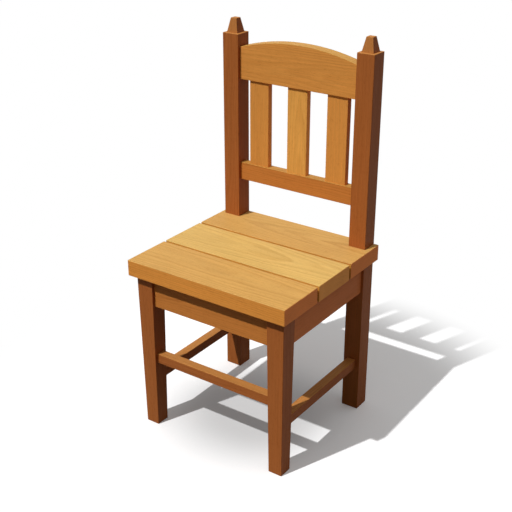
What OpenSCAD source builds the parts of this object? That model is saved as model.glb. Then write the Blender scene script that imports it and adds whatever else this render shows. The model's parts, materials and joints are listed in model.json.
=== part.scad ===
// Wooden side chair: tapered front legs, straight rear posts with small pyramid finials,
// a seat of three boards, and a back of two rails and three flat slats.
// The origin is on the floor, midway between the chair's sides and its front and back.
// +X is the sitter's left, the front faces -Y, and +Z is up. All sizes are in millimetres.
// Left and right in the names are as seen from the front, so a right-hand piece is on +X.

/* [Seat] */
// Height of the seat's top above the floor
seat_h = 450; // [375:5:540]
// Width of the seat from side to side
seat_w = 440; // [380:5:540]
// Thickness of the seat boards
seat_t = 40; // [32:1:50]
// Width of each seat board, front to back
board_w = 133; // [110:1:165]
// Open gap between two seat boards
board_gap = 7; // [2:0.5:12]
// How far the seat stands out past the front legs
front_overhang = 16.5; // [5:0.5:30]
// How far the seat stands out past the legs at each side
side_overhang = 12.5; // [8:0.5:25]
// How far the seat stands out behind the posts
rear_overhang = 1.5; // [0.5:0.5:6]

/* [Legs and posts] */
// Width of the rear posts, and of the front legs at their top
post_w = 45; // [37:0.5:56]
// Width of the front legs at the floor
foot_w = 36; // [28:0.5:44]
// Height of the rear posts, without the finials
post_h = 918.5; // [800:0.5:1105]

/* [Finials] */
// Width of a finial at its bottom
finial_w = 31; // [24:0.5:37]
// Width of a finial at its cut-off top
finial_top_w = 17; // [8:0.5:21]
// Height of a finial above its post
finial_h = 34.5; // [20:0.5:50]
// Diameter of the round spigot under a finial
spigot_d = 12; // [8:0.5:16]
// Length of the spigot
spigot_l = 20; // [12:1:24]

/* [Aprons] */
// Height of the aprons
apron_h = 76.5; // [60:0.5:95]
// Thickness of the aprons
apron_t = 22; // [18:0.5:27]
// Step from a leg's front or back face in to the front or rear apron
end_apron_inset = 8; // [4:0.5:10]
// Step from a leg's outer face in to the side apron
side_apron_inset = 6; // [3:0.5:8]

/* [Stretchers] */
// Height of the front stretcher's top above the floor
front_stretcher_z = 201.5; // [185:0.5:260]
// Height of the side stretchers' top above the floor
side_stretcher_z = 142.5; // [80:0.5:150]
// Height of a stretcher's section
stretcher_h = 24.5; // [18:0.5:30]
// Thickness of a stretcher's section
stretcher_t = 23.5; // [16:0.5:28]

/* [Back] */
// Height of the lower back rail's bottom above the floor
low_rail_z = 550; // [500:1:640]
// Height of the lower back rail's section
low_rail_h = 45; // [30:1:60]
// Thickness of the lower back rail
low_rail_t = 24; // [20:0.5:29]
// Height of the crest rail's bottom above the floor
crest_z = 808.5; // [740:0.5:830]
// Height of the crest rail where it meets the posts
crest_end_h = 79; // [60:0.5:82]
// How much higher the crest rail's arch is in the middle
crest_rise = 24; // [5:0.5:40]
// Thickness of the crest rail
crest_t = 30; // [24:0.5:34]
// Step from the posts' front faces back to both rails
rail_inset = 9; // [5:0.5:10]
// Width of a slat
slat_w = 55; // [35:1:66]
// Thickness of a slat
slat_t = 16; // [12:0.5:19]
// Step from the rails' front faces back to the slats
slat_inset = 5; // [2:0.5:5]
// Gap between a post and the slat next to it
slat_end_gap = 25; // [10:1:40]

/* [Joinery] */
// Thickness of the tenons on aprons, stretchers and slats
tenon_t = 9; // [7:0.5:11]
// Length of the tenons on stretchers, side aprons and back rails
tenon_l = 20; // [14:0.5:24]
// Step from a rail's edge in to its tenon
tenon_shoulder = 6; // [4:0.5:8]
// Wood left above an apron's tenon, below the leg's top
tenon_haunch = 10; // [8:1:16]
// Wood left between two mortises that meet in one leg
mortise_wall = 3; // [2:0.5:5]
// Length of the slats' tenons
slat_tenon_l = 15; // [10:1:18]
// Glue gap round a tenon or spigot
glue_gap = 0.1; // [0.05:0.05:0.3]
// Space left past a tenon's end
end_gap = 1; // [0.5:0.5:2]
// Gap between a post and the notch in the rear seat board
notch_gap = 0.3; // [0.2:0.1:1]

/* [Blocks and cleats] */
// Length of a corner block along each apron
block_l = 75; // [65:1:85]
// Height of the corner blocks and cleats
block_h = 25; // [20:1:30]
// Gap between a corner block and the corner of its leg
block_gap = 0.5; // [0.3:0.1:2]
// Width of a cleat
cleat_w = 20; // [16:1:24]
// Gap between a cleat's end and a corner block
cleat_gap = 5; // [2:1:10]

/* [Screws] */
// Diameter of a screw's shank
screw_d = 4; // [3:0.5:5]
// Diameter of a screw's countersunk head
screw_head_d = 8; // [6:0.5:10]
// How deep a seat screw goes into its board
seat_bite = 20; // [14:1:26]
// How deep a cleat screw goes into the side apron
cleat_bite = 14; // [10:1:16]
// How deep a corner screw goes into its leg or post
corner_bite = 14; // [10:1:15]
// Gap round a screw in its hole
screw_gap = 0.1; // [0.05:0.05:0.3]
// Distance from a block's apron face to its nearer row of seat screws
block_screw_near = 14; // [12:1:18]
// Distance from a block's apron face to its farther row of seat screws
block_screw_far = 48; // [40:1:50]
// Distance between the seat screws in one cleat
cleat_seat_pitch = 80; // [50:1:90]
// Distance between neighbouring cleat screws
cleat_screw_pitch = 70; // [56:1:74]

/* [Hidden] */
$fn = 48;

leg_wood = "#8b5026";
rail_wood = "#aa682e";
board_wood = "#d8a45c";
pale_board_wood = "#e2b569";
slat_wood = "#bc7c38";
pale_slat_wood = "#c88c42";
block_wood = "#9a6334";
screw_steel = "#8d9094";

// Seat
seat_d = 3 * board_w + 2 * board_gap;
frame_h = seat_h - seat_t;

// Faces of the right-hand leg and post at the top of the frame
leg_out = seat_w / 2 - side_overhang;
leg_in = leg_out - post_w;
leg_x = leg_out - post_w / 2;
leg_front = -seat_d / 2 + front_overhang;
leg_y = leg_front + post_w / 2;
leg_back = leg_front + post_w;
post_back = seat_d / 2 - rear_overhang;
post_front = post_back - post_w;
post_y = post_back - post_w / 2;

// Aprons: where each one lies across its own thickness, and up and down
front_apron_y = [leg_front + end_apron_inset, leg_front + end_apron_inset + apron_t];
rear_apron_y = [post_back - end_apron_inset - apron_t, post_back - end_apron_inset];
side_apron_x = [leg_out - side_apron_inset - apron_t, leg_out - side_apron_inset];
apron_z = [frame_h - apron_h, frame_h];
apron_tenon_z = [apron_z[0] + tenon_shoulder, apron_z[1] - tenon_haunch];

// The end aprons' tenons stop short of the side aprons' mortises
end_apron_tip = middle(side_apron_x) - tenon_t / 2 - glue_gap - mortise_wall - end_gap;

// Stretchers
front_stretcher_zz = [front_stretcher_z - stretcher_h, front_stretcher_z];
side_stretcher_zz = [side_stretcher_z - stretcher_h, side_stretcher_z];

// Back
rail_front = post_front + rail_inset;
low_rail_zz = [low_rail_z, low_rail_z + low_rail_h];
low_rail_y = [rail_front, rail_front + low_rail_t];
crest_y = [rail_front, rail_front + crest_t];
crest_end_zz = [crest_z, crest_z + crest_end_h];
crest_r = leg_in * leg_in / (2 * crest_rise) + crest_rise / 2;
slat_y = [rail_front + slat_inset, rail_front + slat_inset + slat_t];
slat_pitch = leg_in - slat_end_gap - slat_w / 2;
through = 1;

// Corner blocks and cleats hang from the seat's underside
block_z = [frame_h - block_h, frame_h];
block_corner_x = side_apron_x[0];
front_block_y = front_apron_y[1];
rear_block_y = rear_apron_y[0];
cleat_x = [side_apron_x[0] - cleat_w, side_apron_x[0]];
cleat_y = [front_block_y + block_l + cleat_gap, rear_block_y - block_l - cleat_gap];

// Screws
head_h = (screw_head_d - screw_d) / 2;
tip_h = screw_d;
tip_d = 0.6;
recess_w = 1;
recess_l = 0.6 * screw_head_d;
recess_h = 1.2;
seat_screw_l = block_h + seat_bite;
cleat_screw_l = cleat_w + cleat_bite;
block_face = [block_corner_x - block_l / 2, block_l / 2];

function middle(r) = (r[0] + r[1]) / 2;
function grow(r, by) = [r[0] - by, r[1] + by];
function centred(at, width) = [at - width / 2, at + width / 2];

// Half of a front leg's width at a height above the floor
function leg_half(z) = (foot_w + (post_w - foot_w) * z / frame_h) / 2;

// Box given by its two ends along each axis
module box(x, y, z)
    translate([x[0], y[0], z[0]]) cube([x[1] - x[0], y[1] - y[0], z[1] - z[0]]);

// Outline drawn in X and Z, with a thickness along Y
module upright_x(points, y)
    translate([0, y[1], 0]) rotate([90, 0, 0]) linear_extrude(y[1] - y[0]) polygon(points);

// Outline drawn in Y and Z, with a thickness along X
module upright_y(points, x)
    translate([x[0], 0, 0]) rotate([90, 0, 90]) linear_extrude(x[1] - x[0]) polygon(points);

// Square block that narrows evenly from one width to another, standing on z = 0
module tapered_block(bottom, top, height) {
    outline = [[-bottom / 2, 0], [bottom / 2, 0], [top / 2, height], [-top / 2, height]];
    widest = max(bottom, top);
    intersection() {
        upright_x(outline, [-widest / 2, widest / 2]);
        upright_y(outline, [-widest / 2, widest / 2]);
    }
}

// Shapes on the right-hand side are made once, and mirrored for the left
module on_left() mirror([1, 0, 0]) children();

// --- Tenons: each core is one bar through its rail. With a gap it cuts the mortises. ---

module front_apron_core(gap = 0, end = 0)
    box(grow([-end_apron_tip, end_apron_tip], end),
        grow(centred(middle(front_apron_y), tenon_t), gap), grow(apron_tenon_z, gap));

module rear_apron_core(gap = 0, end = 0)
    box(grow([-end_apron_tip, end_apron_tip], end),
        grow(centred(middle(rear_apron_y), tenon_t), gap), grow(apron_tenon_z, gap));

module side_apron_core(gap = 0, end = 0)
    box(grow(centred(middle(side_apron_x), tenon_t), gap),
        grow([leg_back - tenon_l, post_front + tenon_l], end), grow(apron_tenon_z, gap));

module front_stretcher_core(gap = 0, end = 0)
    box(grow([-leg_in - tenon_l, leg_in + tenon_l], end),
        grow(centred(leg_y, tenon_t), gap), grow(grow(front_stretcher_zz, -tenon_shoulder), gap));

module side_stretcher_core(gap = 0, end = 0)
    box(grow(centred(leg_x, tenon_t), gap),
        grow([leg_back - tenon_l, post_front + tenon_l], end),
        grow(grow(side_stretcher_zz, -tenon_shoulder), gap));

module low_rail_core(gap = 0, end = 0)
    box(grow([-leg_in - tenon_l, leg_in + tenon_l], end),
        grow(centred(middle(low_rail_y), tenon_t), gap), grow(grow(low_rail_zz, -tenon_shoulder), gap));

module crest_core(gap = 0, end = 0)
    box(grow([-leg_in - tenon_l, leg_in + tenon_l], end),
        grow(centred(middle(crest_y), tenon_t), gap), grow(grow(crest_end_zz, -tenon_shoulder), gap));

module slat_core(x, gap = 0, end = 0)
    box(grow(centred(x, slat_w - 2 * tenon_shoulder), gap),
        grow(centred(middle(slat_y), tenon_t), gap),
        grow([low_rail_zz[1] - slat_tenon_l, crest_z + slat_tenon_l], end));

module spigot(gap = 0, end = 0)
    translate([leg_x, post_y, post_h - spigot_l - end])
        cylinder(d = spigot_d + 2 * gap, h = spigot_l + end);

// --- Screws: drawn pointing up from the head's face, and grown by a gap for their holes ---

module screw(length) difference() {
    union() {
        cylinder(d1 = screw_head_d, d2 = screw_d, h = head_h);
        cylinder(d = screw_d, h = length - tip_h);
        translate([0, 0, length - tip_h]) cylinder(d1 = screw_d, d2 = tip_d, h = tip_h);
    }
    for (turn = [0, 90])
        rotate([0, 0, turn]) translate([-recess_l / 2, -recess_w / 2, -through])
            cube([recess_l, recess_w, recess_h + through]);
}

module screw_hole(length) {
    cylinder(d = screw_d + 2 * screw_gap, h = length + screw_gap);
    translate([0, 0, -screw_gap])
        cylinder(d1 = screw_head_d + 2 * screw_gap, d2 = screw_d + 2 * screw_gap, h = head_h + screw_gap);
    translate([0, 0, -through]) cylinder(d = screw_head_d + 2 * screw_gap, h = through - screw_gap);
}

// Two seat screws in each corner block
module at_block_seat_screws(side, corner_y, inward)
    for (step = [[block_screw_near, block_screw_far], [block_screw_far, block_screw_near]])
        translate([side * (block_corner_x - step[0]), corner_y + inward * step[1], block_z[0]])
            children();

// Two seat screws in each cleat
module at_cleat_seat_screws(side)
    for (y = [-cleat_seat_pitch / 2, cleat_seat_pitch / 2])
        translate([side * middle(cleat_x), y, block_z[0]]) children();

// Three screws from each cleat into its apron
module at_cleat_screws(side)
    for (step = [-1, 0, 1])
        translate([side * cleat_x[0], middle(cleat_y) + step * cleat_screw_pitch, middle(block_z)])
            rotate([0, side * 90, 0]) children();

// One screw from the slanted face of each corner block into its leg or post
module at_corner_screw(side, corner_y, inward)
    translate([side * block_face[0], corner_y + inward * block_face[1], middle(block_z)])
        rotate([0, 0, side > 0 ? -inward * 45 : 180 + inward * 45]) rotate([0, 90, 0]) children();

// The corner screws run from the block's slanted face past the corner of the leg
function diagonal(x, y) = (x + y) / sqrt(2);
front_corner_l = diagonal(block_l, 0) - diagonal(block_corner_x - leg_in, leg_back - front_block_y)
    + corner_bite;
rear_corner_l = diagonal(block_l, 0) - diagonal(block_corner_x - leg_in, rear_block_y - post_front)
    + corner_bite;

// --- Legs, posts and finials ---

module front_leg_cuts() {
    front_apron_core(glue_gap, end_gap);
    side_apron_core(glue_gap, end_gap);
    front_stretcher_core(glue_gap, end_gap);
    side_stretcher_core(glue_gap, end_gap);
    at_corner_screw(1, front_block_y, 1) screw_hole(front_corner_l);
}

module front_leg() color(leg_wood) difference() {
    translate([leg_x, leg_y, 0]) tapered_block(foot_w, post_w, frame_h);
    front_leg_cuts();
}

module rear_post_cuts() {
    rear_apron_core(glue_gap, end_gap);
    side_apron_core(glue_gap, end_gap);
    side_stretcher_core(glue_gap, end_gap);
    low_rail_core(glue_gap, end_gap);
    crest_core(glue_gap, end_gap);
    at_corner_screw(1, rear_block_y, -1) screw_hole(rear_corner_l);
    spigot(glue_gap, end_gap);
}

module rear_post() color(leg_wood) difference() {
    box([leg_in, leg_out], [post_front, post_back], [0, post_h]);
    rear_post_cuts();
}

module finial() color(leg_wood) {
    translate([leg_x, post_y, post_h]) tapered_block(finial_w, finial_top_w, finial_h);
    spigot();
}

module front_left_leg() on_left() front_leg();
module front_right_leg() front_leg();
module rear_left_post() on_left() rear_post();
module rear_right_post() rear_post();
module left_finial() on_left() finial();
module right_finial() finial();

// --- Aprons ---

// Rail between the front legs, its ends cut to the legs' taper
module between_front_legs(y, zz) {
    reach = [for (z = zz) leg_x - leg_half(z)];
    upright_x([[-reach[0], zz[0]], [reach[0], zz[0]], [reach[1], zz[1]], [-reach[1], zz[1]]], y);
}

// Rail from a tapered front leg back to its rear post
module front_to_back(x, zz) {
    start = [for (z = zz) leg_y + leg_half(z)];
    upright_y([[start[0], zz[0]], [post_front, zz[0]], [post_front, zz[1]], [start[1], zz[1]]], x);
}

module front_apron() color(rail_wood) {
    between_front_legs(front_apron_y, apron_z);
    front_apron_core();
}

module rear_apron() color(rail_wood) {
    box([-leg_in, leg_in], rear_apron_y, apron_z);
    rear_apron_core();
}

module side_apron() color(rail_wood) difference() {
    union() {
        front_to_back(side_apron_x, apron_z);
        side_apron_core();
    }
    at_cleat_screws(1) screw_hole(cleat_screw_l);
}

module left_apron() on_left() side_apron();
module right_apron() side_apron();

// --- Stretchers ---

module front_stretcher() color(leg_wood) {
    between_front_legs(centred(leg_y, stretcher_t), front_stretcher_zz);
    front_stretcher_core();
}

module side_stretcher() color(leg_wood) {
    front_to_back(centred(leg_x, stretcher_t), side_stretcher_zz);
    side_stretcher_core();
}

module left_stretcher() on_left() side_stretcher();
module right_stretcher() side_stretcher();

// --- Seat boards ---

// Board number 0 is the front one and 2 is the rear one
module seat_board(number) {
    front = -seat_d / 2 + number * (board_w + board_gap);
    difference() {
        box([-seat_w / 2, seat_w / 2], [front, front + board_w], [frame_h, seat_h]);
        seat_screw_places() screw_hole(seat_screw_l);
        children();
    }
}

// The posts pass up through notches that are open to the back
module post_notches()
    for (side = [-1, 1])
        box(grow(centred(side * leg_x, post_w), notch_gap),
            [post_front - notch_gap, post_back + rear_overhang + through],
            [frame_h - through, seat_h + through]);

module front_seat_board() color(board_wood) seat_board(0);
module middle_seat_board() color(pale_board_wood) seat_board(1);
module rear_seat_board() color(board_wood) seat_board(2) post_notches();

// --- Back ---

module slat_cuts()
    for (place = [-1, 0, 1]) slat_core(place * slat_pitch, glue_gap, end_gap);

module lower_back_rail() color(rail_wood) difference() {
    union() {
        box([-leg_in, leg_in], low_rail_y, low_rail_zz);
        low_rail_core();
    }
    slat_cuts();
}

// The arch is part of a circle through both ends and the middle of the rail's top
module crest_rail() color(slat_wood) difference() {
    union() {
        intersection() {
            box([-leg_in, leg_in], crest_y, [crest_z, crest_end_zz[1] + crest_rise]);
            translate([0, crest_y[1] + through, crest_end_zz[1] + crest_rise - crest_r])
                rotate([90, 0, 0]) cylinder(r = crest_r, h = crest_t + 2 * through, $fn = 720);
        }
        crest_core();
    }
    slat_cuts();
}

module slat(x) {
    box(centred(x, slat_w), slat_y, [low_rail_zz[1], crest_z]);
    slat_core(x);
}

module left_slat() color(slat_wood) slat(-slat_pitch);
module middle_slat() color(pale_slat_wood) slat(0);
module right_slat() color(slat_wood) slat(slat_pitch);

// --- Corner blocks and cleats ---

// Three-cornered block in the angle of two aprons, notched round the leg's corner
module corner_block(corner_y, inward, leg_face, screw_l) color(block_wood) difference() {
    translate([0, 0, block_z[0]]) linear_extrude(block_h) polygon([
        [block_corner_x, corner_y],
        [block_corner_x - block_l, corner_y],
        [block_corner_x, corner_y + inward * block_l]
    ]);
    box([leg_in - block_gap, leg_out], inward > 0
        ? [corner_y - through, leg_face + block_gap] : [leg_face - block_gap, corner_y + through],
        grow(block_z, through));
    at_block_seat_screws(1, corner_y, inward) screw_hole(seat_screw_l);
    at_corner_screw(1, corner_y, inward) screw_hole(screw_l);
}

module front_block() corner_block(front_block_y, 1, leg_back, front_corner_l);
module rear_block() corner_block(rear_block_y, -1, post_front, rear_corner_l);

module front_left_block() on_left() front_block();
module front_right_block() front_block();
module rear_left_block() on_left() rear_block();
module rear_right_block() rear_block();

module cleat() color(block_wood) difference() {
    box(cleat_x, cleat_y, block_z);
    at_cleat_seat_screws(1) screw_hole(seat_screw_l);
    at_cleat_screws(1) screw_hole(cleat_screw_l);
}

module left_cleat() on_left() cleat();
module right_cleat() cleat();

// --- Screws ---

module seat_screw_places() for (side = [-1, 1]) {
    at_block_seat_screws(side, front_block_y, 1) children();
    at_block_seat_screws(side, rear_block_y, -1) children();
    at_cleat_seat_screws(side) children();
}

module seat_screws() color(screw_steel) seat_screw_places() screw(seat_screw_l);

module cleat_screws() color(screw_steel)
    for (side = [-1, 1]) at_cleat_screws(side) screw(cleat_screw_l);

module corner_screws() color(screw_steel) for (side = [-1, 1]) {
    at_corner_screw(side, front_block_y, 1) screw(front_corner_l);
    at_corner_screw(side, rear_block_y, -1) screw(rear_corner_l);
}

front_left_leg();
front_right_leg();
rear_left_post();
rear_right_post();
left_finial();
right_finial();
front_apron();
rear_apron();
left_apron();
right_apron();
front_stretcher();
left_stretcher();
right_stretcher();
front_seat_board();
middle_seat_board();
rear_seat_board();
lower_back_rail();
crest_rail();
left_slat();
middle_slat();
right_slat();
front_left_block();
front_right_block();
rear_left_block();
rear_right_block();
left_cleat();
right_cleat();
seat_screws();
cleat_screws();
corner_screws();
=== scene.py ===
"""Looks for a plain wooden side chair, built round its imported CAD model.

The frame is in metres: X across the chair, Y from front to back, Z up, floor at z = 0.
Every wooden piece is a copy of its CAD node with rounded outer edges and its own cut of
solid wood. The screws keep their CAD meshes and get a plated steel.
"""

import json
import math
import random

import bmesh
import bpy
from mathutils import Euler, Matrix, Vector


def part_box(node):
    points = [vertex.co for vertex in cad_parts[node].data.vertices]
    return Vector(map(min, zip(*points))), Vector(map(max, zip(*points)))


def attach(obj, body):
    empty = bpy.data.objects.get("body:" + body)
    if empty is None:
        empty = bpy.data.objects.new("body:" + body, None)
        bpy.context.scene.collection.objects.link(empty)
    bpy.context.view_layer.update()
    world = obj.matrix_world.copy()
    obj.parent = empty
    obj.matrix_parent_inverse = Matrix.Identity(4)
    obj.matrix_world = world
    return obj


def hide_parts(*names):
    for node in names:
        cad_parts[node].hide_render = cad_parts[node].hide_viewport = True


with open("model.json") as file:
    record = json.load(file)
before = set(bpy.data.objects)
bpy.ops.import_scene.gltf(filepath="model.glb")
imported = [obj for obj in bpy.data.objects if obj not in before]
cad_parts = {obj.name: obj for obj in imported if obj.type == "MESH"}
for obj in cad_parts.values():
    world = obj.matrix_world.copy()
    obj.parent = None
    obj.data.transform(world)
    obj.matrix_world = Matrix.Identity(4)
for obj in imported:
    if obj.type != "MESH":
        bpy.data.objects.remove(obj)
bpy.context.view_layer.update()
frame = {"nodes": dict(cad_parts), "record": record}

MM = 0.001
WHITE = (1.0, 1.0, 1.0, 1.0)

# --- Camera, light and floor -----------------------------------------------------------

CAMERA_TARGET = Vector((-0.00897, 0.01593, 0.43174))
CAMERA_AZIMUTH = math.radians(34.95)
CAMERA_ELEVATION = math.radians(24.83)
CAMERA_DISTANCE = 2.3375
CAMERA_FIELD = math.radians(29.47)
SENSOR_WIDTH = 36.0

SUN_DIRECTION = Vector((0.2415, 0.660, -1.0))
SUN_ANGLE = math.radians(1.0)
# The sun's light on a face that looks straight up. With the sky's and the fill's it makes
# about 1.1, at which a wood shows about as its colour is written, because the dark lines
# of its figure take about as much away again.
SUN_SHARE = 0.73
# The sky's strength at the horizon, how much it rises to straight overhead and by which
# power of the height, and how much a soft fill from behind and to the right adds
SKY_LEVEL = 0.02
SKY_RISE = 0.555
SKY_CURVE = 2.0
FILL_DIRECTION = (0.62, 0.785, 0.0)
FILL_LEVEL = 0.34

FLOOR_HALF_WIDTH = 30.0
# What the floor gives back to the chair, and its own faint glow as the camera sees it
FLOOR_BOUNCE = (0.12, 0.12, 0.12)
FLOOR_GLOW = 0.08
# The painted soft shade under the seat: its level at the middle of the chair, and the
# distances from there over which it ends
PAINTED_CONTACT_SHADE = 0.585
CONTACT_FADE = (0.085, 0.295)
# Distances from the middle over which the long shadow is painted out to white, and its curve
SHADOW_FADE = (0.49, 0.80)
FADE_CURVE = 1.3

# --- Colours: the record's slots -------------------------------------------------------

# Linear colours: of the faces to the front and back, of those to the sides, and of those
# that look up. They hold painted light and shade: the faces that look up are painted paler
# as if lit, and the sides darker or lighter than the fronts by how light falls on them. On
# the boards the sides are also the end grain.
WOODS = {
    "leg_wood": ((0.42, 0.13, 0.03), (0.32, 0.09, 0.02), (0.54, 0.23, 0.06)),
    "rail_wood": ((0.61, 0.22, 0.045), (0.65, 0.19, 0.05), (0.55, 0.27, 0.06)),
    "board_wood": ((0.83, 0.33, 0.06), (0.95, 0.30, 0.09), (0.67, 0.38, 0.11)),
    "pale_board_wood": ((0.86, 0.37, 0.07), (0.95, 0.40, 0.11), (0.74, 0.48, 0.15)),
    "slat_wood": ((0.78, 0.33, 0.07), (0.93, 0.33, 0.07), (0.62, 0.33, 0.08)),
    "pale_slat_wood": ((0.85, 0.41, 0.09), (0.95, 0.37, 0.08), (0.76, 0.46, 0.15)),
    "block_wood": ((0.42, 0.19, 0.07), (0.42, 0.19, 0.07), (0.46, 0.23, 0.10)),
}
# How far a normal leans up, to the side, or along the grain, from where a colour of the
# painted light and shade or the end grain starts to where it is full
UPWARD_FACE = (0.02, 0.33)
SIDE_FACE = (0.55, 0.85)
END_FACE = (0.55, 0.95)
# Painted shade on the walls of the grooves between the seat boards: what it multiplies
# their colour by, and the distances from the middle of the seat over which it ends
GROOVE_PAINTED_SHADE = (0.84, 0.96, 0.96)
GROOVE_END = (0.10, 0.15)
# What the dark late wood and the open pores multiply a colour by
LATE_TINT = (0.80, 0.72, 0.62)
PORE_TINT = (0.76, 0.66, 0.58)
# What the fibres and the wide patches multiply the brightness by, from least to most
FIBRE_SHADE = (0.90, 1.10)
PATCH_SHADE = (0.95, 1.05)

STEEL_COLOUR = (0.50, 0.52, 0.55)
# What the plating's dull patches multiply its colour by
DULL_STEEL = 0.8

# --- Finish: satin wood and plated steel -----------------------------------------------

WOOD_SPECULAR = 0.10
# Roughness of the hollows and the tops of the fibres, and what pores and end grain add
FIBRE_ROUGHNESS = (0.60, 0.50)
PORE_ROUGHNESS = 0.12
END_ROUGHNESS = 0.12
# Shares of the relief, its depth and how strongly it shows
FIBRE_HEIGHT = 0.35
LATE_HEIGHT = 0.30
PORE_DEPTH = 0.50
WOOD_RELIEF = 0.25 * MM
WOOD_BUMP = 0.35

# Features per metre of the plating's clouds, and of the fine marks on it
CLOUD_SCALE = (260.0, 260.0, 260.0)
MARK_SCALE = (900.0, 900.0, 2600.0)
# Levels of the clouds over which its colour goes dull, and over which its polish does
DULL_COLOUR_RANGE = (0.3, 0.7)
DULL_POLISH_RANGE = (0.2, 0.8)
STEEL_ROUGHNESS = (0.28, 0.46)
STEEL_RELIEF = 0.1 * MM
STEEL_BUMP = 0.25

# --- The figure of solid wood ----------------------------------------------------------

# Features per metre of each noise, along the grain and twice across it
BEND_SCALE = (3.0, 16.0, 16.0)
WAVER_SCALE = (14.0, 90.0, 90.0)
FIBRE_SCALE = (9.0, 420.0, 420.0)
PORE_SCALE = (75.0, 2100.0, 2100.0)
PATCH_SCALE = (4.0, 22.0, 22.0)
# Levels of a noise that become 0 and 1
FIBRE_RANGE = (0.25, 0.75)
PORE_RANGE = (0.60, 0.72)
PATCH_RANGE = (0.25, 0.75)
# How many rings a slow bend and a quicker waver move the rings by, and the number that
# the count starts from at the pith
BEND_RINGS = 3.2
WAVER_RINGS = 0.5
PITH_RING = 100.0
# Parts of a year, and how dark the wood grown in each is
YEAR = ((0.0, 0.25), (0.12, 0.02), (0.50, 0.22), (0.86, 1.0), (1.0, 0.35))
# How dark the palest year is beside the darkest
PALEST_YEAR = 0.45

# Limits between which each piece's own cut is drawn: the slant of its grain, where along
# the trunk it lies, how far it is from the pith, and the width of a ring in millimetres
GRAIN_SLANT = math.radians(1.6)
ALONG_TRUNK = (1.0, 40.0)
BOARD_ASIDE = 0.030
BOARD_ABOVE = (0.055, 0.105)
BOARD_RING = (3.6, 4.6)
STICK_AWAY = (0.045, 0.085)
STICK_RING = (2.6, 3.6)
# The turn that lays each axis of the frame along the trunk, which is the figure's X
TO_GRAIN = {
    "X": Euler((0.0, 0.0, 0.0)),
    "Y": Euler((0.0, 0.0, -math.pi / 2)),
    "Z": Euler((0.0, math.pi / 2, 0.0)),
}

# --- Pieces ----------------------------------------------------------------------------

# Node: the axis that its grain runs along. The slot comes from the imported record.
GRAIN_AXIS = {
    "front_left_leg": "Z", "front_right_leg": "Z",
    "rear_left_post": "Z", "rear_right_post": "Z",
    "left_finial": "Z", "right_finial": "Z",
    "front_apron": "X", "rear_apron": "X", "left_apron": "Y", "right_apron": "Y",
    "front_stretcher": "X", "left_stretcher": "Y", "right_stretcher": "Y",
    "front_seat_board": "X", "middle_seat_board": "X", "rear_seat_board": "X",
    "lower_back_rail": "X", "crest_rail": "X",
    "left_slat": "Z", "middle_slat": "Z", "right_slat": "Z",
    "front_left_block": "Y", "front_right_block": "Y",
    "rear_left_block": "Y", "rear_right_block": "Y",
    "left_cleat": "Y", "right_cleat": "Y",
}
SCREWS = ("seat_screws", "cleat_screws", "corner_screws")

# These have a screw hole in their inner corner, whose rim a bevel would catch on
SCREWED_CORNERS = ("front_left_leg", "front_right_leg", "rear_left_post", "rear_right_post")
# Radius of the outer edges, by a word in the node's name, and of all other pieces
EDGE_ROUND = {"board": 1.6 * MM, "block": 0.5 * MM, "cleat": 0.5 * MM}
PLAIN_ROUND = 1.1 * MM
ROUND_STEPS = 3
# Closer points than this are one point, and points this near a plane are on it
WELD = 0.005 * MM
FLAT = 0.02 * MM
# Angles between two faces: up to the first they are one flat face, over the second their
# edge is rounded, and over the third it is shaded as a crease
FACET = math.radians(0.1)
SHARP = math.radians(25.0)
CREASE = math.radians(35.0)


# --- Helpers ---------------------------------------------------------------------------


def record_slots():
    """Each node's material slot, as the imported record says."""
    return {part["node"]: part["material_slot"] for part in frame["record"]["subparts"]}


def new_object(name, data):
    """Object of the given data, linked to the scene."""
    thing = bpy.data.objects.new(name, data)
    bpy.context.scene.collection.objects.link(thing)
    return thing


def new_material(name):
    """Material with an empty tree, and that tree."""
    material = bpy.data.materials.new(name)
    material.use_nodes = True
    return material, Tree(material.node_tree)


def rgba(colour):
    return (*colour, 1.0)


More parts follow.
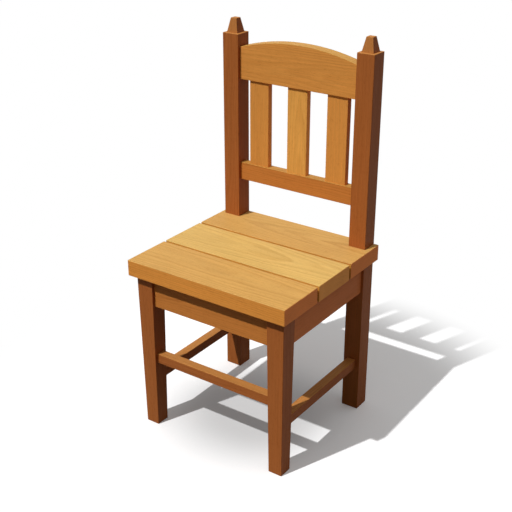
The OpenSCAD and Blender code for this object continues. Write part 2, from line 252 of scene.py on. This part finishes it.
class Tree:
    """Adds and links the nodes of one shader tree."""

    def __init__(self, tree):
        self.tree = tree
        tree.nodes.clear()

    def put(self, socket, value):
        """Links an output to a socket, or sets the socket to a plain value."""
        if isinstance(value, bpy.types.NodeSocket):
            self.tree.links.new(value, socket)
        else:
            socket.default_value = value

    def add(self, kind, inputs=None, **settings):
        node = self.tree.nodes.new(kind)
        for name, value in settings.items():
            setattr(node, name, value)
        for name, value in (inputs or {}).items():
            self.put(node.inputs[name], value)
        return node

    def math(self, operation, *values):
        node = self.add("ShaderNodeMath", operation=operation)
        for socket, value in zip(node.inputs, values):
            self.put(socket, value)
        return node.outputs[0]

    def plus(self, total, value, weight):
        """Adds a weighted value to a total."""
        return self.math("ADD", total, self.math("MULTIPLY", value, weight))

    def vector(self, operation, *values):
        """Vector math. Gives both outputs, Vector and Value."""
        node = self.add("ShaderNodeVectorMath", operation=operation)
        for socket, value in zip(node.inputs, values):
            self.put(socket, value)
        return node.outputs

    def noise(self, vector, scale, detail=2.0, roughness=0.5):
        """Noise from 0 to 1 with its own scale along each axis, in features per metre."""
        node = self.add("ShaderNodeTexNoise", {
            "Vector": self.vector("MULTIPLY", vector, scale)["Vector"], "Scale": 1.0,
            "Detail": detail, "Roughness": roughness,
        })
        return node.outputs["Fac"]

    def ramp(self, value, low, high, to_low=0.0, to_high=1.0, smooth=True):
        """Takes low to high over to to_low to to_high, and stops at both ends."""
        node = self.add("ShaderNodeMapRange", {
            "Value": value, "From Min": low, "From Max": high,
            "To Min": to_low, "To Max": to_high,
        })
        node.interpolation_type = "SMOOTHSTEP" if smooth else "LINEAR"
        return node.outputs[0]

    def spread(self, value, low, high):
        """Turns 0 to 1 evenly into low to high."""
        return self.ramp(value, 0.0, 1.0, low, high, smooth=False)

    def grey(self, level):
        channels = {"Red": level, "Green": level, "Blue": level}
        return self.add("ShaderNodeCombineColor", channels).outputs[0]

    def mix(self, factor, a, b, blend="MIX"):
        """Mixes two colours."""
        node = self.add("ShaderNodeMix", data_type="RGBA", blend_type=blend)
        # Its sockets for numbers and vectors come before those for colours
        for number, value in ((0, factor), (6, a), (7, b)):
            self.put(node.inputs[number], value)
        return node.outputs[2]

    def mix_shaders(self, factor, a, b):
        node = self.add("ShaderNodeMixShader")
        for socket, value in zip(node.inputs, (factor, a, b)):
            self.put(socket, value)
        return node.outputs[0]


# --- Wood ------------------------------------------------------------------------------


def late_wood(tree, place, ring_width):
    """The yearly rings, from 0 to 1. Each year starts pale and ends in a dark line, which
    is stronger in some years than in others."""
    # Distance from the pith in rings, bent by slow waves along and across the trunk
    away = tree.vector("LENGTH", tree.vector("MULTIPLY", place, (0.0, 1.0, 1.0))["Vector"])
    rings = tree.math("DIVIDE", away["Value"], ring_width)
    rings = tree.plus(rings, tree.noise(place, BEND_SCALE), BEND_RINGS)
    rings = tree.plus(rings, tree.noise(place, WAVER_SCALE), WAVER_RINGS)
    rings = tree.math("ADD", rings, PITH_RING)

    growth = tree.add("ShaderNodeValToRGB", {"Fac": tree.math("FRACT", rings)})
    growth.color_ramp.interpolation = "B_SPLINE"
    stops = growth.color_ramp.elements
    while len(stops) < len(YEAR):
        stops.new(1.0)
    for stop, (position, level) in zip(stops, YEAR):
        stop.position, stop.color = position, rgba((level,) * 3)

    chance = tree.add("ShaderNodeTexWhiteNoise", {"W": tree.math("FLOOR", rings)},
                      noise_dimensions="1D")
    strength = tree.spread(chance.outputs["Value"], PALEST_YEAR, 1.0)
    return tree.math("MULTIPLY", growth.outputs["Color"], strength)


def wood_figure():
    """Node group: solid wood in its own space, with X along the grain and the pith of the
    tree at y = z = 0. Gives late wood, fibres, pores and wide soft patches, each from 0
    to 1."""
    group = bpy.data.node_groups.new("wood_figure", "ShaderNodeTree")
    sockets = group.interface
    sockets.new_socket("Vector", in_out="INPUT", socket_type="NodeSocketVector")
    sockets.new_socket("Ring Width", in_out="INPUT", socket_type="NodeSocketFloat")
    for name in ("Late Wood", "Fibres", "Pores", "Patches"):
        sockets.new_socket(name, in_out="OUTPUT", socket_type="NodeSocketFloat")
    tree = Tree(group)
    entry = tree.add("NodeGroupInput").outputs
    place = entry["Vector"]
    fibres = tree.noise(place, FIBRE_SCALE, detail=4.0, roughness=0.62)
    pores = tree.noise(place, PORE_SCALE, detail=1.0)
    patches = tree.noise(place, PATCH_SCALE)
    tree.add("NodeGroupOutput", {
        "Late Wood": late_wood(tree, place, entry["Ring Width"]),
        "Fibres": tree.ramp(fibres, *FIBRE_RANGE, smooth=False),
        "Pores": tree.ramp(pores, *PORE_RANGE),
        "Patches": tree.ramp(patches, *PATCH_RANGE, smooth=False),
    })
    return group


def cut_of_wood(node, axis, seed):
    """Where a piece was cut from its tree: the place and turn of its mapping, and how wide
    the tree's rings are. Wide boards are cut above the pith, and sticks to one side of it."""
    draw = random.Random(seed)
    low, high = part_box(node)
    straight = TO_GRAIN[axis].to_matrix()
    slant = Euler((0.0, draw.uniform(-1, 1) * GRAIN_SLANT, draw.uniform(-1, 1) * GRAIN_SLANT))
    turn = slant.to_matrix() @ straight
    if "board" in node:
        aside = draw.uniform(-BOARD_ASIDE, BOARD_ASIDE)
        pith = Vector((0.0, aside, -draw.uniform(*BOARD_ABOVE)))
        ring_width = draw.uniform(*BOARD_RING) * MM
    else:
        way = draw.uniform(0.0, 2.0 * math.pi)
        away = draw.uniform(*STICK_AWAY)
        pith = Vector((0.0, away * math.cos(way), away * math.sin(way)))
        pith = straight.inverted() @ pith
        ring_width = draw.uniform(*STICK_RING) * MM
    along = Vector((draw.uniform(*ALONG_TRUNK), 0.0, 0.0))
    place = along - turn @ ((low + high) / 2 + pith)
    return place, turn.to_euler(), ring_width


def face_masks(tree, own, axis):
    """How far a face looks to the side, up, and along the grain, each from 0 to 1."""
    normal = tree.add("ShaderNodeSeparateXYZ", {"Vector": own["Normal"]}).outputs
    aside = tree.ramp(tree.math("ABSOLUTE", normal["X"]), *SIDE_FACE)
    up = tree.ramp(normal["Z"], *UPWARD_FACE)
    up = tree.math("MULTIPLY", up, tree.math("SUBTRACT", 1.0, aside))
    end = tree.ramp(tree.math("ABSOLUTE", normal[axis]), *END_FACE)
    return aside, up, end


def colour_with_painted_light(tree, own, node, slot, aside, up):
    """A wood's colour without its figure, with painted light and shade by the way that the face
    looks, and painted shade between the seat boards.
    """
    front, side, upward = WOODS[slot]
    colour = rgba(front)
    # Painted shade: the walls of the grooves between the boards are darker
    if "board" in node:
        point = tree.add("ShaderNodeSeparateXYZ", {"Vector": own["Object"]}).outputs
        outside = tree.ramp(tree.math("ABSOLUTE", point["Y"]), *GROOVE_END)
        painted_groove_shade = rgba([level * tint for level, tint in zip(front, GROOVE_PAINTED_SHADE)])
        colour = tree.mix(outside, painted_groove_shade, colour)
    # Painted light and shade: the sides and the faces that look up get colours of their own
    colour = tree.mix(aside, colour, rgba(side))
    return tree.mix(up, colour, rgba(upward))


def figured_colour(tree, wood, colour):
    """The colour with the wood's rings, fibres, patches and pores on it."""
    colour = tree.mix(wood["Late Wood"], colour, rgba(LATE_TINT), "MULTIPLY")
    fibres = tree.spread(wood["Fibres"], *FIBRE_SHADE)
    patches = tree.spread(wood["Patches"], *PATCH_SHADE)
    colour = tree.mix(1.0, colour, tree.grey(tree.math("MULTIPLY", fibres, patches)), "MULTIPLY")
    return tree.mix(wood["Pores"], colour, rgba(PORE_TINT), "MULTIPLY")


def wood_material(node, slot, axis, seed, figure):
    """Solid wood for one piece: painted light and shade by face direction, rings, fibres, pores
    and end grain.
    """
    material, tree = new_material(node + "_wood")
    own = tree.add("ShaderNodeTexCoord").outputs
    place, turn, ring_width = cut_of_wood(node, axis, seed)
    mapping = tree.add("ShaderNodeMapping", {
        "Vector": own["Object"], "Location": place, "Rotation": turn})
    wood = tree.add("ShaderNodeGroup", {
        "Vector": mapping.outputs[0], "Ring Width": ring_width}, node_tree=figure).outputs

    aside, up, end = face_masks(tree, own, axis)
    colour = colour_with_painted_light(tree, own, node, slot, aside, up)
    rough = tree.plus(tree.spread(wood["Fibres"], *FIBRE_ROUGHNESS), wood["Pores"], PORE_ROUGHNESS)
    height = tree.math("MULTIPLY", wood["Fibres"], FIBRE_HEIGHT)
    height = tree.plus(height, wood["Late Wood"], LATE_HEIGHT)
    height = tree.plus(height, wood["Pores"], -PORE_DEPTH)
    bump = tree.add("ShaderNodeBump", {
        "Height": height, "Strength": WOOD_BUMP, "Distance": WOOD_RELIEF})
    shader = tree.add("ShaderNodeBsdfPrincipled", {
        "Base Color": figured_colour(tree, wood, colour),
        "Roughness": tree.plus(rough, end, END_ROUGHNESS),
        "Normal": bump.outputs[0],
        "Specular IOR Level": WOOD_SPECULAR,
    })
    tree.add("ShaderNodeOutputMaterial", {"Surface": shader.outputs[0]})
    return material


def steel_material():
    """Zinc-plated steel, with a slightly uneven colour and polish."""
    material, tree = new_material("plated_steel")
    own = tree.add("ShaderNodeTexCoord").outputs["Object"]
    cloud = tree.noise(own, CLOUD_SCALE, detail=3.0)
    marks = tree.noise(own, MARK_SCALE)
    dull = rgba([DULL_STEEL * level for level in STEEL_COLOUR])
    bump = tree.add("ShaderNodeBump", {
        "Height": marks, "Strength": STEEL_BUMP, "Distance": STEEL_RELIEF})
    shader = tree.add("ShaderNodeBsdfPrincipled", {
        "Base Color": tree.mix(tree.ramp(cloud, *DULL_COLOUR_RANGE), rgba(STEEL_COLOUR), dull),
        "Metallic": 1.0,
        "Roughness": tree.ramp(cloud, *DULL_POLISH_RANGE, *STEEL_ROUGHNESS),
        "Normal": bump.outputs[0],
    })
    tree.add("ShaderNodeOutputMaterial", {"Surface": shader.outputs[0]})
    return material


# --- Meshes ----------------------------------------------------------------------------


def merge_flat(mesh):
    """Turns the triangles of each flat face into one face."""
    bmesh.ops.remove_doubles(mesh, verts=mesh.verts, dist=WELD)
    bmesh.ops.dissolve_limit(mesh, angle_limit=FACET, verts=mesh.verts, edges=mesh.edges)
    mesh.normal_update()


def outer_faces(mesh):
    """The faces that have the whole piece behind their plane, so not tenons, mortises,
    notches or screw holes."""
    points = [vert.co.copy() for vert in mesh.verts]
    found = set()
    for face in mesh.faces:
        level = face.normal.dot(face.verts[0].co)
        if all(face.normal.dot(point) - level < FLAT for point in points):
            found.add(face)
    return found


def round_edges(mesh, radius):
    """Rounds the edges between outer faces."""
    outer = outer_faces(mesh)
    edges = [edge for edge in mesh.edges
             if edge.is_manifold and edge.is_convex and set(edge.link_faces) <= outer
             and edge.calc_face_angle() > SHARP]
    bmesh.ops.bevel(mesh, geom=edges, offset=radius, offset_type="OFFSET",
                    segments=ROUND_STEPS, profile=0.5, affect="EDGES", clamp_overlap=True)


def loose_object(name, mesh):
    """Object of a mesh, which it uses up."""
    data = bpy.data.meshes.new(name)
    mesh.to_mesh(data)
    mesh.free()
    return new_object(name, data)


def trimmed(mesh, radius):
    """What lies within a rounded case of the mesh's own hull. The case's flat faces stand a
    hair proud, so only its rounding cuts."""
    case = mesh.copy()
    hull = set(bmesh.ops.convex_hull(case, input=case.verts)["geom"])
    bmesh.ops.delete(case, geom=[face for face in case.faces if face not in hull],
                     context="FACES")
    merge_flat(case)
    round_edges(case, radius)
    case.normal_update()
    for vert in case.verts:
        vert.co += vert.normal * FLAT
    case, body = loose_object("case", case), loose_object("body", mesh)
    cut = body.modifiers.new("cut", "BOOLEAN")
    cut.operation, cut.solver, cut.object = "INTERSECT", "EXACT", case
    cut_body = body.evaluated_get(bpy.context.evaluated_depsgraph_get())
    result = bmesh.new()
    result.from_mesh(cut_body.data)
    for thing in (case, body):
        bpy.data.objects.remove(thing)
    merge_flat(result)
    return result


def rounded(node):
    """Copy of a CAD node with its outer edges rounded and smooth shading."""
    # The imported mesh's own normals wouldn't fit the new edges
    plain = frame["nodes"][node].data.copy()
    plain.attributes.remove(plain.attributes["custom_normal"])
    mesh = bmesh.new()
    mesh.from_mesh(plain)
    bpy.data.meshes.remove(plain)
    merge_flat(mesh)
    radius = next((r for word, r in EDGE_ROUND.items() if word in node), PLAIN_ROUND)
    if node in SCREWED_CORNERS:
        mesh = trimmed(mesh, radius)
    else:
        round_edges(mesh, radius)
    # Rounding and cutting can leave slivers with no area
    bmesh.ops.dissolve_degenerate(mesh, dist=WELD, edges=mesh.edges)
    for face in mesh.faces:
        face.smooth = True
    for edge in mesh.edges:
        edge.smooth = edge.calc_face_angle(math.pi) < CREASE
    piece = loose_object(node + "_finished", mesh)
    weighted = piece.modifiers.new("flat_faces", "WEIGHTED_NORMAL")
    weighted.keep_sharp = True
    return piece


def build_chair():
    slots, figure, steel = record_slots(), wood_figure(), steel_material()
    for seed, (node, axis) in enumerate(GRAIN_AXIS.items()):
        piece = rounded(node)
        piece.data.materials.append(wood_material(node, slots[node], axis, seed, figure))
        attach(piece, "root")
        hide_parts(node)
    for node in SCREWS:
        screws = frame["nodes"][node]
        for holder in screws.material_slots:
            holder.link = "OBJECT"
            holder.material = steel


# --- Scene -----------------------------------------------------------------------------


def seen_directly(tree):
    """1 for rays that show the background itself: from the camera, or by way of gloss or
    glass. 0 for the rays that light the chair."""
    path = tree.add("ShaderNodeLightPath").outputs
    seen = tree.math("MAXIMUM", path["Is Camera Ray"], path["Is Transmission Ray"])
    return tree.math("MAXIMUM", seen, path["Is Glossy Ray"])


def floor_material():
    """Matte white with a painted soft shade under the seat, and a shadow that is painted out to
    white far from the chair. What it gives back to the chair is less than what it shows."""
    material, tree = new_material("white_floor")
    seen = seen_directly(tree)
    place = tree.add("ShaderNodeTexCoord").outputs["Object"]
    distance = tree.vector("LENGTH", place)["Value"]
    # Painted shade: the floor's colour darkens towards the middle of the chair
    shade = tree.grey(tree.ramp(distance, *CONTACT_FADE, PAINTED_CONTACT_SHADE, 1.0))
    matte = tree.add("ShaderNodeBsdfDiffuse", {"Color": tree.mix(seen, rgba(FLOOR_BOUNCE), shade)})
    own_glow = tree.math("MULTIPLY", seen, FLOOR_GLOW)
    glow = tree.add("ShaderNodeEmission", {"Color": WHITE, "Strength": own_glow})
    near = tree.add("ShaderNodeAddShader")
    tree.put(near.inputs[0], matte.outputs[0])
    tree.put(near.inputs[1], glow.outputs[0])
    # Painted light: far from the chair the floor shows plain white over its shadow
    far = tree.add("ShaderNodeEmission", {"Color": WHITE, "Strength": 1.0})
    faded = tree.math("POWER", tree.ramp(distance, *SHADOW_FADE), FADE_CURVE)
    faded = tree.math("MULTIPLY", faded, seen)
    top = tree.mix_shaders(faded, near.outputs[0], far.outputs[0])
    # Clear from below, so that the chair's underside can be looked at
    below = tree.add("ShaderNodeNewGeometry").outputs["Backfacing"]
    clear = tree.add("ShaderNodeBsdfTransparent").outputs[0]
    tree.add("ShaderNodeOutputMaterial", {"Surface": tree.mix_shaders(below, top, clear)})
    return material


def make_floor():
    data = bpy.data.meshes.new("floor_mesh")
    r = FLOOR_HALF_WIDTH
    data.from_pydata([(-r, -r, 0), (r, -r, 0), (r, r, 0), (-r, r, 0)], [], [(0, 1, 2, 3)])
    data.materials.append(floor_material())
    floor = new_object("floor", data)


def make_sun():
    sun = bpy.data.lights.new("sun", "SUN")
    falling = -SUN_DIRECTION.normalized().z
    sun.energy = SUN_SHARE * math.pi / falling
    sun.angle = SUN_ANGLE
    lamp = new_object("sun", sun)
    lamp.rotation_mode = "QUATERNION"
    lamp.rotation_quaternion = SUN_DIRECTION.to_track_quat("-Z", "Y")


def make_sky():
    """Sky that gets brighter overhead and has a soft fill to one side. It shows as white."""
    world = bpy.data.worlds.new("sky")
    world.use_nodes = True
    bpy.context.scene.world = world
    tree = Tree(world.node_tree)
    way = tree.add("ShaderNodeTexCoord").outputs["Generated"]
    height = tree.add("ShaderNodeSeparateXYZ", {"Vector": way}).outputs["Z"]
    rise = tree.math("POWER", tree.math("MAXIMUM", height, 0.0), SKY_CURVE)
    rise = tree.math("MULTIPLY", rise, SKY_RISE)
    towards = tree.vector("DOT_PRODUCT", way, FILL_DIRECTION)["Value"]
    fill = tree.math("MULTIPLY", tree.math("MAXIMUM", towards, 0.0), FILL_LEVEL)
    light = tree.math("ADD", tree.math("ADD", rise, fill), SKY_LEVEL)
    strength = tree.math("MAXIMUM", light, seen_directly(tree))
    sky = tree.add("ShaderNodeBackground", {"Color": WHITE, "Strength": strength})
    tree.add("ShaderNodeOutputWorld", {"Surface": sky.outputs[0]})


def make_camera():
    data = bpy.data.cameras.new("camera")
    data.sensor_width = SENSOR_WIDTH
    data.lens = SENSOR_WIDTH / 2 / math.tan(CAMERA_FIELD / 2)
    camera = new_object("camera", data)
    bpy.context.scene.camera = camera
    level = math.cos(CAMERA_ELEVATION)
    back = Vector((math.sin(CAMERA_AZIMUTH) * level, -math.cos(CAMERA_AZIMUTH) * level,
                   math.sin(CAMERA_ELEVATION)))
    camera.location = CAMERA_TARGET + back * CAMERA_DISTANCE
    camera.rotation_mode = "QUATERNION"
    camera.rotation_quaternion = (-back).to_track_quat("-Z", "Y")


make_camera()
make_sun()
make_sky()
make_floor()
build_chair()
bpy.context.scene.view_settings.view_transform = "Standard"
